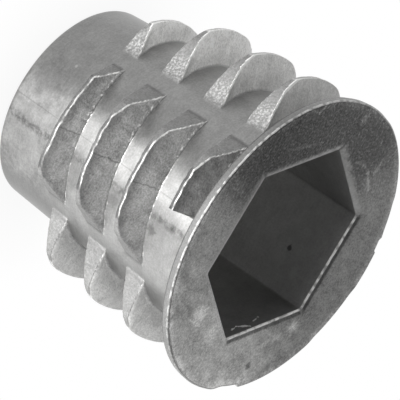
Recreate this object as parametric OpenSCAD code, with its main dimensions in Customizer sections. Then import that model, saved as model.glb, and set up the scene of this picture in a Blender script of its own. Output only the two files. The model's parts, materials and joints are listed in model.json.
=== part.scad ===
// Hex drive screw-in insert for wood: a flanged zinc casting with a coarse
// interrupted outer thread, a hex socket at the flange and a machine thread
// below it. Millimetres, +Z along the axis towards the flange, origin at the
// middle of the nose face, which the insert stands on.

/* [Core] */
// Overall height, from the nose face to the top of the flange
overall_len = 15.7; // [12:0.1:24]
// Diameter of the core at the nose face
nose_d = 11.24; // [10.6:0.02:12]
// Diameter of the core where it meets the flange
core_top_d = 13.4; // [13:0.05:14.2]
// Rounding of the nose edge
nose_round = 0.3; // [0.1:0.05:0.8]
// Fillet between the core and the flange
root_fillet = 0.25; // [0.05:0.05:0.5]

/* [Outer thread] */
// Lead of the right-hand outer thread
lead = 3.08; // [2.6:0.02:3.6]
// Full height of a ridge above the core
ridge_h = 1.9; // [1:0.01:2.2]
// Width of a ridge at its crest
crest_w = 0.2; // [0.1:0.05:0.6]
// Slope of each flank, measured from square to the axis
flank_deg = 17; // [10:1:22]
// Height of the first ridge above the nose face, at the front
first_ridge_z = 4.52; // [3.6:0.02:6]
// Free height between the last ridge and the flange
last_ridge_gap = 0.6; // [0.3:0.1:2]
// Half angle over which a ridge stands at its full height
crest_half_deg = 14; // [8:1:18]
// Half angle at the shoulder, where the end flats of a ridge meet
shoulder_half_deg = 22.8; // [20:0.1:28]
// Share of the full height that is left at the shoulder
shoulder_share = 0.77; // [0.5:0.01:0.9]
// Half angle at the core, where the end flats run out
foot_half_deg = 40; // [36:0.1:43]
// Height of the first lead-in ridge, as a share of the full height
lead_in_first = 0.52; // [0.2:0.01:0.7]
// Height of the second lead-in ridge, as a share of the full height
lead_in_second = 0.92; // [0.75:0.01:1]
// Crest width of the first lead-in ridge, which is cut off broad
lead_in_crest_w = 0.4; // [0.2:0.05:0.6]
// Sideways offset of the lead-in ridges, which makes them rise
lead_in_shift = 0.54; // [0:0.01:0.8]
// Casting offset of the thread from the axis, towards its left-hand side
thread_offset = 0.05; // [0:0.01:0.2]

/* [Flange] */
// Diameter of the flange
flange_d = 17.3; // [16:0.1:20]
// Thickness of the flange
flange_t = 0.5; // [0.4:0.05:1.2]
// Rounding of the flange rim
rim_round = 0.15; // [0.05:0.01:0.19]
// Casting offset of the flange from the axis
flange_offset = 0.07; // [0:0.01:0.2]
// Direction of the casting offset
flange_offset_deg = 60; // [0:5:355]

/* [Flange nicks] */
// Direction of the wide shallow nick that the gate leaves
gate_nick_deg = 13; // [0:1:359]
// Width of the gate nick
gate_nick_w = 2.2; // [1:0.1:4]
// Depth of the gate nick
gate_nick_depth = 0.2; // [0.05:0.05:0.4]
// Direction of the narrow nick
edge_nick_deg = 97; // [0:1:359]
// Width of the narrow nick
edge_nick_w = 0.9; // [0.4:0.1:2]
// Depth of the narrow nick
edge_nick_depth = 0.16; // [0.05:0.01:0.4]
// Direction of the trimmed flat
trim_flat_deg = 68; // [0:1:359]
// Depth of the trimmed flat, which sets how long it is
trim_flat_depth = 0.1; // [0.02:0.01:0.3]

/* [Hex socket] */
// Width across the flats of the socket
hex_af = 10; // [8:0.1:10.4]
// Depth of the socket below the flange top
hex_depth = 7.5; // [4:0.5:9]
// Turn of a socket corner from the right-hand side
hex_turn_deg = -5; // [-30:1:30]
// Width of the shallow bevel round the mouth of the socket
hex_bevel_w = 0.45; // [0.2:0.05:0.6]
// Depth of the bevel
hex_bevel_depth = 0.12; // [0.05:0.01:0.3]

/* [Machine thread] */
// Nominal diameter of the machine thread
screw_d = 8; // [5:1:9]
// Pitch of the machine thread
screw_pitch = 1.25; // [0.8:0.05:1.5]
// Width of the countersink at the nose end of the thread
screw_lead_in = 0.5; // [0.2:0.05:0.9]

/* [Hidden] */
$fn = 96;
zinc = [0.62, 0.62, 0.61];
arc_steps = 6;
over = 0.5;
quarter = 90;
flange_z = overall_len - flange_t;
core_slope = (core_top_d - nose_d) / 2 / overall_len;
function core_r(z) = nose_d / 2 + core_slope * z;
// Internal thread crests of a 60 degree thread stand 1.0825 pitches inside
// the nominal diameter.
bore_d = screw_d - 1.0825 * screw_pitch;
foot_half_w = crest_w / 2 + ridge_h * tan(flank_deg);
mid_z = overall_len / 2;
// The ridges are segments, four to a turn. The first one at the front is
// number 1, and number 0 leads in to it from the left.
last_segment = 1 + floor((flange_z - last_ridge_gap - foot_half_w - first_ridge_z)
                         / (lead / 4));

// A point from its distance and its direction.
function polar(r, a) = [r * cos(a), r * sin(a)];

// Points of an arc round [x, z], from one angle to another.
function arc(x, z, r, from, to) =
    [for (i = [0 : arc_steps])
        let (a = from + (to - from) * i / arc_steps)
        [x + r * cos(a), z + r * sin(a)]];

// The plain tapered core, with its nose edge rounded and its root filleted.
module core() {
    root_r = core_r(flange_z);
    rotate_extrude()
        polygon(concat(
            [[0, 0]],
            arc(core_r(0) - nose_round, nose_round, nose_round, -quarter, 0),
            [[core_r(flange_z - root_fillet), flange_z - root_fillet]],
            arc(root_r + root_fillet, flange_z - root_fillet, root_fillet, 2 * quarter, quarter),
            [[root_r + root_fillet, flange_z + flange_t / 2], [0, flange_z + flange_t / 2]]));
}

// The thin flange with a rounded rim, a little off the axis as it was cast.
module flange() {
    r = flange_d / 2;
    rotate([0, 0, flange_offset_deg])
        translate([flange_offset, 0, flange_z])
            rotate_extrude()
                polygon(concat(
                    [[0, 0]],
                    arc(r - rim_round, rim_round, rim_round, -quarter, 0),
                    arc(r - rim_round, flange_t - rim_round, rim_round, 0, quarter),
                    [[0, flange_t]]));
}

// One nick in the rim, cut with a straight back. A nick that is wider than
// the chord at its depth leaves a flat.
module nick(turn, width, depth) {
    rotate([0, 0, turn])
        translate([flange_d / 2 - depth, -width / 2, flange_z - over])
            cube([flange_d, width, flange_t + 2 * over]);
}

// What is trimmed off the rim.
module rim_cuts() {
    nick(gate_nick_deg, gate_nick_w, gate_nick_depth);
    nick(edge_nick_deg, edge_nick_w, edge_nick_depth);
    nick(trim_flat_deg, flange_d, trim_flat_depth);
}

// Height of a ridge segment at its middle, as a share of the full height.
function height_share(i) = i == 0 ? lead_in_first : i == 1 ? lead_in_second : 1;

// One ridge segment, tilted to follow the lead, in its own quarter's frame:
// its middle points along +X. The upper flank is the same on all of them, and
// a lead-in segment is cut lower and set sideways, so that it rises along its
// length. The last segment is only the first half of one.
module ridge_segment(i) {
    z = first_ridge_z + lead * (i - 1) / 4;
    height = ridge_h * height_share(i);
    crest_r = core_r(z) + height;
    inner_r = core_r(0) - ridge_h / 2;
    flank_w = (crest_r - inner_r) * tan(flank_deg);
    upper = crest_w / 2 + (ridge_h - height) * tan(flank_deg);
    lower = upper - (i == 0 ? lead_in_crest_w : crest_w);
    shift = height_share(i) < 1 ? lead_in_shift : 0;
    tilt = atan(lead / (2 * PI * crest_r));
    halves = i == last_segment ? 1 : 2;
    translate([0, shift, z])
        rotate([tilt, 0, 0])
            rotate([0, 0, -quarter / 2])
                rotate_extrude(angle = quarter / 2 * halves)
                    polygon([
                        [inner_r, lower - flank_w],
                        [crest_r, lower],
                        [crest_r, upper],
                        [inner_r, upper + flank_w]]);
}

// What lies outside the upright plane through two points of a cross section
// at mid height. It leans with the core.
module outside_plane(near, far) {
    along = far - near;
    facing = atan2(-along[0], along[1]);
    size = 2 * overall_len;
    rotate([0, 0, facing])
        translate([near * [cos(facing), sin(facing)], 0, mid_z])
            rotate([0, atan(core_slope), 0])
                translate([0, -size / 2, -size / 2])
                    cube(size);
}

// The two slanting flats that end the ridges of a quarter on one side: a
// small one from the crest to the shoulder, and a long one down to the core.
module end_flats() {
    core = core_r(mid_z);
    crest = polar(core + ridge_h, crest_half_deg);
    shoulder = polar(core + ridge_h * shoulder_share, shoulder_half_deg);
    foot = polar(core, foot_half_deg);
    outside_plane(crest, shoulder);
    outside_plane(shoulder, foot);
}

// Every ridge of the outer thread that lies in one quarter.
module quarter_ridges(first) {
    difference() {
        for (i = [first : 4 : last_segment])
            ridge_segment(i);
        end_flats();
        mirror([0, 1, 0])
            end_flats();
    }
}

// The outer thread, quarter by quarter. Segment 1 is at the front.
module outer_thread() {
    translate([-thread_offset, 0, 0])
        for (first = [0 : 3])
            rotate([0, 0, quarter * (first - 2)])
                quarter_ridges(first);
}

// What the bevel takes off along one side of the hex socket. It is as long
// as that side and mitres with its neighbours.
module bevel_cut(corner_r) {
    half = corner_r / 2;
    grow = hex_bevel_w * tan(30);
    slope = atan(hex_bevel_depth / hex_bevel_w);
    intersection() {
        translate([hex_af / 2, 0, overall_len - hex_bevel_depth])
            rotate([0, -slope, 0])
                translate([-hex_af / 2, -hex_af / 2, 0])
                    cube(hex_af);
        translate([0, 0, overall_len - hex_bevel_depth])
            linear_extrude(hex_bevel_depth + over)
                polygon([
                    [0, 0],
                    [hex_af / 2 + hex_bevel_w, -half - grow],
                    [hex_af / 2 + hex_bevel_w, half + grow]]);
    }
}

// The hex socket with a bevelled mouth.
module hex_socket() {
    corner_r = hex_af / 2 / cos(30);
    rotate([0, 0, hex_turn_deg]) {
        translate([0, 0, overall_len - hex_depth])
            cylinder(h = hex_depth + over, r = corner_r, $fn = 6);
        for (side = [0 : 5])
            rotate([0, 0, 30 + 60 * side])
                bevel_cut(corner_r);
    }
}

// The bore of the machine thread, with a countersink at the nose.
module screw_bore() {
    translate([0, 0, -over])
        cylinder(h = overall_len - hex_depth + 2 * over, d = bore_d);
    translate([0, 0, -over])
        cylinder(h = screw_lead_in + over, d1 = bore_d + 2 * (screw_lead_in + over), d2 = bore_d);
}

module insert_body() {
    color(zinc)
        difference() {
            union() {
                core();
                outer_thread();
                difference() {
                    flange();
                    rim_cuts();
                }
            }
            hex_socket();
            screw_bore();
        }
}

insert_body();
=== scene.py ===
"""Looks of a die-cast zinc screw-in insert: its body, its finish and the studio.

The insert stands on its nose. Sizes in the classes are in millimetres and are
turned to metres where a mesh is placed. Angles round the axis are counted in
turns from the front, -Y, towards +X.
"""

import json
import logging
import math
from dataclasses import dataclass, field, replace
from enum import Enum
from functools import reduce
from typing import Callable, ClassVar, Optional, Sequence, Union

import bpy
from mathutils import Matrix, Vector

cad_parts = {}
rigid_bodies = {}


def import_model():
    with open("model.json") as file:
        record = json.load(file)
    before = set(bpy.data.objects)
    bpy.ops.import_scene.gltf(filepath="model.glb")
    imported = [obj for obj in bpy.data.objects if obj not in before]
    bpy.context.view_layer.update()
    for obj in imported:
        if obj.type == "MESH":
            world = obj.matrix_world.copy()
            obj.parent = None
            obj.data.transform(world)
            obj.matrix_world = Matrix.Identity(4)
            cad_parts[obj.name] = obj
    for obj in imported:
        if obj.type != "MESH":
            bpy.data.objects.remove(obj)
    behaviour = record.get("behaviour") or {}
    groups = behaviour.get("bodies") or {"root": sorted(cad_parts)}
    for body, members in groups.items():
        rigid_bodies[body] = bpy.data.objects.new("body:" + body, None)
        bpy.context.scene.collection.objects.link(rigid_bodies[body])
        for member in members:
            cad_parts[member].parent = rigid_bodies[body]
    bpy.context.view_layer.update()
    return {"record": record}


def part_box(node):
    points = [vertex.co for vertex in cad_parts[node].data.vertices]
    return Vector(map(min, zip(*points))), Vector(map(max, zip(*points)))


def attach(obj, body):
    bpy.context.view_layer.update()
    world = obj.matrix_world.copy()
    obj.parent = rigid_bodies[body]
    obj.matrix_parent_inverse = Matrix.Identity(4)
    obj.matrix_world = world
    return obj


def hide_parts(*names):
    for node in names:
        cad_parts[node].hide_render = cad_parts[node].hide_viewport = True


LOG = logging.getLogger("threaded_insert")

MM = 0.001
TAU = 2 * math.pi
DEGREE = 1 / 360
QUARTER = 1 / 4
BODY_NODE = "insert_body"

Span = tuple[float, float]
Band = tuple[Span, Span]

# Where a side of the casting fades in, from none to all: the first two are
# values of the cosine of the turn, and the others of its sine.
FRONT: Span = (0.5, 0.7)
SIDES: Span = (0.7, 0.45)
LEFT: Span = (-0.5, -0.8)
RIGHT: Span = (0.5, 0.8)
# Degrees from the middle of a side of the socket between which it fades out.
CORNER_FADE: Span = (30.2, 28.0)


class Mark(Enum):
    """Lengths in millimetres that say where on the casting a point lies.

    RELIEF is how high a ridge stands, CORNER how far a flank lies under the
    upper corner of its crest, and END how far the slanting ends lie over the
    flank. RIM is the way inwards from the flange's top edge, and LIP the way
    outwards from the edge of the socket. Both are below 0 on the other side.
    """

    RELIEF = "mark_relief"
    CORNER = "mark_corner"
    END = "mark_end"
    RIM = "mark_rim"
    LIP = "mark_lip"


# What a zone is given where a mark doesn't matter.
OFF_MARK = {Mark.RELIEF: 0.0, Mark.CORNER: -1.0, Mark.END: 1.0, Mark.RIM: -3.0, Mark.LIP: 3.0}
# Mark.RIM of the socket and the bore, which lie well inside the rim.
INSIDE = 2.0


# --------------------------------------------------------------------------
# Node trees written with ordinary arithmetic
# --------------------------------------------------------------------------


def arithmetic(operation: str, swapped: bool = False) -> Callable[["Field", "Number"], "Field"]:
    """Makes the method that gives a Field one of the signs of arithmetic.

    Args:
        operation: The Math node's operation.
        swapped: Whether the field is its second term.

    Returns:
        The method.
    """
    def method(self: "Field", other: "Number") -> "Field":
        """Works the field out with another number."""
        return self.writer.math(operation, *((other, self) if swapped else (self, other)))

    return method


class Field:
    """A number in a node tree that can be worked with like any number."""

    def __init__(self, writer: "NodeWriter", socket: bpy.types.NodeSocket) -> None:
        """Wraps an output socket of a tree."""
        self.writer = writer
        self.socket = socket

    __add__ = __radd__ = arithmetic("ADD")
    __sub__ = arithmetic("SUBTRACT")
    __rsub__ = arithmetic("SUBTRACT", swapped=True)
    __mul__ = __rmul__ = arithmetic("MULTIPLY")
    __truediv__ = arithmetic("DIVIDE")
    __rtruediv__ = arithmetic("DIVIDE", swapped=True)

    def __neg__(self) -> "Field":
        """The number with its sign turned."""
        return self.writer.math("MULTIPLY", self, -1.0)


Number = Union[float, Field]


class NodeWriter:
    """Adds nodes to one node tree and links them."""

    NODES_PER_ROW = 24
    NODE_STEP = (180, 160)

    def __init__(self, tree: bpy.types.NodeTree) -> None:
        """Starts writing into an empty tree."""
        self.tree = tree
        self.count = 0

    def add(self, kind: str, **settings: object) -> bpy.types.Node:
        """Adds one node.

        Args:
            kind: The node's type name.
            **settings: Properties to set on it.

        Returns:
            The new node.
        """
        node = self.tree.nodes.new(kind)
        for name, value in settings.items():
            setattr(node, name, value)
        row, column = divmod(self.count, self.NODES_PER_ROW)
        node.location = (column * self.NODE_STEP[0], -row * self.NODE_STEP[1])
        self.count += 1
        return node

    def feed(self, socket: bpy.types.NodeSocket, value: object) -> None:
        """Links a field or a socket into an input, or sets a plain value on it.

        Args:
            socket: The input to fill.
            value: A Field, an output socket, or a plain value.
        """
        if isinstance(value, Field):
            self.tree.links.new(value.socket, socket)
        elif isinstance(value, bpy.types.NodeSocket):
            self.tree.links.new(value, socket)
        else:
            socket.default_value = value

    def math(self, operation: str, *terms: Number) -> Field:
        """One Math node.

        Args:
            operation: The node's operation.
            *terms: Its inputs, in order.

        Returns:
            The result.
        """
        node = self.add("ShaderNodeMath", operation=operation)
        for socket, term in zip(node.inputs, terms):
            self.feed(socket, term)
        return Field(self, node.outputs[0])

    def vector(self, x: Number, y: Number, z: Number) -> bpy.types.NodeSocket:
        """Joins three numbers.

        Args:
            x: First part.
            y: Second part.
            z: Third part.

        Returns:
            The vector.
        """
        node = self.add("ShaderNodeCombineXYZ")
        for socket, term in zip(node.inputs, (x, y, z)):
            self.feed(socket, term)
        return node.outputs[0]

    def parts(self, vector: bpy.types.NodeSocket) -> tuple[Field, Field, Field]:
        """Splits a vector.

        Args:
            vector: The vector.

        Returns:
            Its three parts.
        """
        node = self.add("ShaderNodeSeparateXYZ")
        self.feed(node.inputs[0], vector)
        return tuple(Field(self, output) for output in node.outputs)

    def scaled(self, vector: bpy.types.NodeSocket, by: Sequence[float]) -> bpy.types.NodeSocket:
        """Multiplies a vector by another, part by part.

        Args:
            vector: The vector.
            by: What each of its parts is multiplied by.

        Returns:
            The product.
        """
        node = self.add("ShaderNodeVectorMath", operation="MULTIPLY")
        self.feed(node.inputs[0], vector)
        self.feed(node.inputs[1], by)
        return node.outputs[0]

    def noise(
        self,
        vector: bpy.types.NodeSocket,
        per_mm: float,
        detail: float = 2.0,
        roughness: float = 0.5,
        distortion: float = 0.0,
    ) -> Field:
        """Soft noise from 0 to 1, with a mean near a half.

        Args:
            vector: Where to read it, in millimetres.
            per_mm: How many grains there are to the millimetre.
            detail: Finer layers to add.
            roughness: Strength of the finer layers.
            distortion: How much it is stirred.

        Returns:
            The noise.
        """
        node = self.add("ShaderNodeTexNoise")
        self.feed(node.inputs["Vector"], vector)
        self.feed(node.inputs["Scale"], per_mm)
        self.feed(node.inputs["Detail"], detail)
        self.feed(node.inputs["Roughness"], roughness)
        self.feed(node.inputs["Distortion"], distortion)
        return Field(self, node.outputs[0])


def extreme(a: Number, b: Number, soft: float, sharp_join: str, soft_join: str) -> Field:
    """The lower or the higher of two numbers.

    Args:
        a: One number.
        b: The other. At least one of them is a field.
        soft: Reach of the rounded join between them, 0 for a sharp one.
        sharp_join: The Math node's operation without rounding.
        soft_join: The one with rounding.

    Returns:
        The result.
    """
    writer = (a if isinstance(a, Field) else b).writer
    return writer.math(soft_join, a, b, soft) if soft > 0 else writer.math(sharp_join, a, b)


def lowest(a: Number, b: Number, soft: float = 0.0) -> Field:
    """The lower of two numbers, with a rounded join if soft is above 0."""
    return extreme(a, b, soft, "MINIMUM", "SMOOTH_MIN")


def highest(a: Number, b: Number, soft: float = 0.0) -> Field:
    """The higher of two numbers, with a rounded join if soft is above 0."""
    return extreme(a, b, soft, "MAXIMUM", "SMOOTH_MAX")


def strongest(*values: Number) -> Field:
    """The highest of several numbers, of which the first is a field."""
    return reduce(highest, values)


def within(value: Field, low: Number, high: Number) -> Field:
    """A number kept between two others."""
    return highest(lowest(value, high), low)


def magnitude(value: Field) -> Field:
    """A number without its sign."""
    return value.writer.math("ABSOLUTE", value)


def whole(value: Field) -> Field:
    """The nearest whole number."""
    return value.writer.math("FLOOR", value + 0.5)


def cosine(turns: Field) -> Field:
    """Cosine of an angle in turns."""
    return turns.writer.math("COSINE", turns * TAU)


def sine(turns: Field) -> Field:
    """Sine of an angle in turns."""
    return turns.writer.math("SINE", turns * TAU)


def blend(a: Number, b: Number, share: Field) -> Field:
    """A straight mix of two numbers, a at 0 and b at 1."""
    return a + (b - a) * share if isinstance(a, Field) else share * (b - a) + a


def ease(value: Field, start: float, end: float) -> Field:
    """A smooth step from 0 to 1.

    Args:
        value: What the step depends on.
        start: The value up to which it is 0.
        end: The value from which it is 1, on either side of the start.

    Returns:
        The step.
    """
    node = value.writer.add("ShaderNodeMapRange", interpolation_type="SMOOTHSTEP", clamp=True)
    value.writer.feed(node.inputs["Value"], value)
    for name, number in (("From Min", start), ("From Max", end), ("To Min", 0.0), ("To Max", 1.0)):
        value.writer.feed(node.inputs[name], number)
    return Field(value.writer, node.outputs["Result"])


def between(value: Field, rise: Span, fall: Span) -> Field:
    """A smooth step up over one span of a value, and down over a later one."""
    return ease(value, *rise) * ease(value, *reversed(fall))


def along_sides(turn: Field, sides: Sequence[float]) -> Field:
    """1 along some sides of the socket's hexagon, and 0 along the others.

    Args:
        turn: Angle round the axis.
        sides: Directions of the middles of the sides, in degrees.

    Returns:
        The mask, which falls off just before the corners, 30 degrees away.
    """
    total: Number = 0.0
    for degrees in sides:
        away = magnitude(turn.writer.math("WRAP", turn - degrees * DEGREE, 0.5, -0.5))
        total = ease(away, CORNER_FADE[0] * DEGREE, CORNER_FADE[1] * DEGREE) + total
    return total


# --------------------------------------------------------------------------
# The tree that makes the body
# --------------------------------------------------------------------------

Ring = tuple[Number, Number]
Shape = Callable[[Field, Field], Ring]
Marks = dict[Mark, Number]


class BodyTree(NodeWriter):
    """A Geometry Nodes tree in which named sizes give rings round the axis.

    The skin is a closed chain of zones: up the outside, over the flange, down
    the socket and the bore, and out over the nose face. Each zone is a grid
    whose columns go round the axis and whose rows follow its section.
    """

    COLUMNS = 720
    FIRST_TURN = -0.375
    WELD_M = 1e-6

    def __init__(self, name: str) -> None:
        """Makes the tree with its output.

        Args:
            name: The tree's name.
        """
        super().__init__(bpy.data.node_groups.new(name, "GeometryNodeTree"))
        self.tree.interface.new_socket("Geometry", in_out="INPUT", socket_type="NodeSocketGeometry")
        self.tree.interface.new_socket("Geometry", in_out="OUTPUT", socket_type="NodeSocketGeometry")
        self.group_input = self.add("NodeGroupInput")
        self.zones: list[bpy.types.NodeSocket] = []
        self.sizes: dict[str, float] = {}

    def size(self, label: str, value: float) -> Field:
        """A named input of the tree, made at its first use.

        Args:
            label: The input's name.
            value: The size that it gets on the modifier.

        Returns:
            The input as a field.
        """
        if label not in self.sizes:
            self.tree.interface.new_socket(label, in_out="INPUT", socket_type="NodeSocketFloat")
            self.sizes[label] = value
        return Field(self, self.group_input.outputs[label])

    def zone(self, rows: int, shape: Shape, marks: Optional[Marks] = None) -> None:
        """Adds one zone of the skin.

        Args:
            rows: How many rows of faces it has.
            shape: Gives radius and height from the turn and the share of rows.
            marks: Attributes to store on it.
        """
        grid = self.add("GeometryNodeMeshGrid")
        for label, value in (
            ("Size X", 1.0),
            ("Size Y", 1.0),
            ("Vertices X", self.COLUMNS + 1),
            ("Vertices Y", rows + 1),
        ):
            self.feed(grid.inputs[label], value)
        across, along, _ = self.parts(self.add("GeometryNodeInputPosition").outputs[0])
        turn = across + (0.5 + self.FIRST_TURN)
        radius, height = shape(turn, along + 0.5)
        mesh = grid.outputs["Mesh"]
        for mark in Mark:
            store = self.add("GeometryNodeStoreNamedAttribute", data_type="FLOAT", domain="POINT")
            self.feed(store.inputs["Geometry"], mesh)
            self.feed(store.inputs["Name"], mark.value)
            self.feed(store.inputs["Value"], (marks or {}).get(mark, OFF_MARK[mark]))
            mesh = store.outputs["Geometry"]
        place = self.add("GeometryNodeSetPosition")
        self.feed(place.inputs["Geometry"], mesh)
        spot = self.vector(sine(turn) * radius * MM, cosine(turn) * radius * -MM, height * MM)
        self.feed(place.inputs["Position"], spot)
        self.zones.append(place.outputs["Geometry"])

    def finish(self, material: bpy.types.Material) -> None:
        """Welds the zones and ends the tree.

        Args:
            material: The finish of the body.
        """
        join = self.add("GeometryNodeJoinGeometry")
        for zone in self.zones:
            self.tree.links.new(zone, join.inputs[0])
        skin = join.outputs[0]
        for kind, settings in (
            ("GeometryNodeMergeByDistance", {"Distance": self.WELD_M}),
            ("GeometryNodeSetShadeSmooth", {}),
            ("GeometryNodeRealizeInstances", {}),
            ("GeometryNodeSetMaterial", {"Material": material}),
        ):
            node = self.add(kind)
            self.feed(node.inputs["Geometry"], skin)
            for name, value in settings.items():
                self.feed(node.inputs[name], value)
            skin = node.outputs[0]
        self.feed(self.add("NodeGroupOutput").inputs[0], skin)

    def build(self, name: str) -> bpy.types.Object:
        """Runs the tree and keeps its result as a plain mesh.

        Args:
            name: Name of the new object.

        Returns:
            The object, at the origin.
        """
        carrier = bpy.data.objects.new(name + "_carrier", bpy.data.meshes.new(name + "_carrier"))
        bpy.context.scene.collection.objects.link(carrier)
        modifier = carrier.modifiers.new("body", "NODES")
        modifier.node_group = self.tree
        for item in self.tree.interface.items_tree:
            if item.item_type == "SOCKET" and item.name in self.sizes:
                modifier[item.identifier] = self.sizes[item.name]
        body = plain_copy(carrier, name)
        bpy.data.objects.remove(carrier)
        return body


def plain_copy(source: bpy.types.Object, name: str) -> bpy.types.Object:
    """Keeps what an object's modifiers make as a new object without any.

    Args:
        source: The object to read.
        name: Name of the new object and its mesh.

    Returns:
        The new object, linked to the scene.
    """
    depsgraph = bpy.context.evaluated_depsgraph_get()
    mesh = bpy.data.meshes.new_from_object(source.evaluated_get(depsgraph), depsgraph=depsgraph)
    mesh.name = name
    copy = bpy.data.objects.new(name, mesh)
    bpy.context.scene.collection.objects.link(copy)
    return copy


# --------------------------------------------------------------------------
# The forms of the casting
# --------------------------------------------------------------------------


@dataclass
class Core:
    """The tapered sleeve that carries everything else."""

    overall: float
    nose_radius: float = 5.62
    top_radius: float = 6.7
    nose_round: float = 0.3
    root_fillet: float = 0.25
    edge_rows: int = 6

    def radius(self, tree: BodyTree, height: Number) -> Field:
        """Radius of the bare core.

        Args:
            tree: The body's tree.
            height: Height along the axis.

        Returns:
            The radius.
        """
        nose = tree.size("Core nose radius", self.nose_radius)
        top = tree.size("Core top radius", self.top_radius)
        return nose + (top - nose) / tree.size("Overall length", self.overall) * height

    def add_nose_edge(self, tree: BodyTree, wall: Shape) -> None:
        """Adds the rounded edge at the nose.

        Args:
            tree: The body's tree.
            wall: The outer wall, whose first ring it meets.
        """
        rounding = tree.size("Nose rounding", self.nose_round)

        def shape(turn: Field, share: Field) -> Ring:
            """A ring of the edge."""
            lean = share * QUARTER
            last, _ = wall(turn, rounding)
            return last - rounding * (1 - sine(lean)), rounding * (1 - cosine(lean))

        tree.zone(self.edge_rows, shape)


@dataclass
class EndFlat:
    """One slanting flat that ends the ridges, seen along the axis."""

    inner_deg: float
    inner_height: float
    outer_deg: float
    outer_height: float

    def line(self, core_radius: float) -> tuple[float, float]:
        """Where the flat lies.

        Args:
            core_radius: Radius of the core that the heights stand on.

        Returns:
            Its direction from the middle of the ridge, in turns, and its
            distance from the axis.
        """
        points = []
        for degrees, height in (
            (self.inner_deg, self.inner_height),
            (self.outer_deg, self.outer_height),
        ):
            angle = math.radians(degrees)
            reach = core_radius + height
            points.append((reach * math.cos(angle), reach * math.sin(angle)))
        (x0, y0), (x1, y1) = points
        direction = math.atan2(x0 - x1, y1 - y0)
        distance = x0 * math.cos(direction) + y0 * math.sin(direction)
        return direction / TAU, distance


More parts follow.
